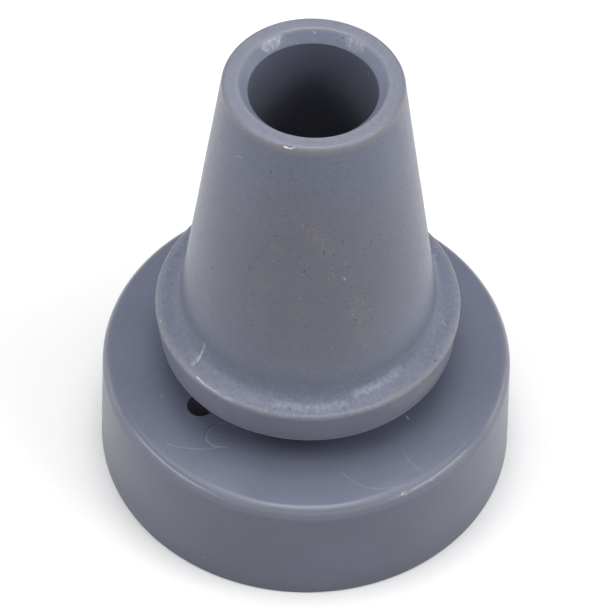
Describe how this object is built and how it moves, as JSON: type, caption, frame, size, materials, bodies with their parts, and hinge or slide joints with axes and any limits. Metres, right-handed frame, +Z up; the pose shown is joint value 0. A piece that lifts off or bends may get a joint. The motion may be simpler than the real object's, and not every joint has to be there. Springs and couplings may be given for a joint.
{
  "type": "cane tip",
  "caption": "Grey rubber cane tip: tapered tube socket with a blind bore, a flange, a short flexible neck and a wide round base with a ring tread.",
  "frame": {"origin": "on the tube socket's axis, in the plane of the sole", "axes": "+Z up along the tube socket, out of its mouth; -Y towards the picture's side, with the vent on the -X side of it"},
  "size_m": [0.067, 0.067, 0.0814],
  "materials": {
    "rubber": "matte moulded rubber with faint scuffs"
  },
  "bodies": {
    "root": {"cane_tip": "rubber"}
  },
  "joints": []
}
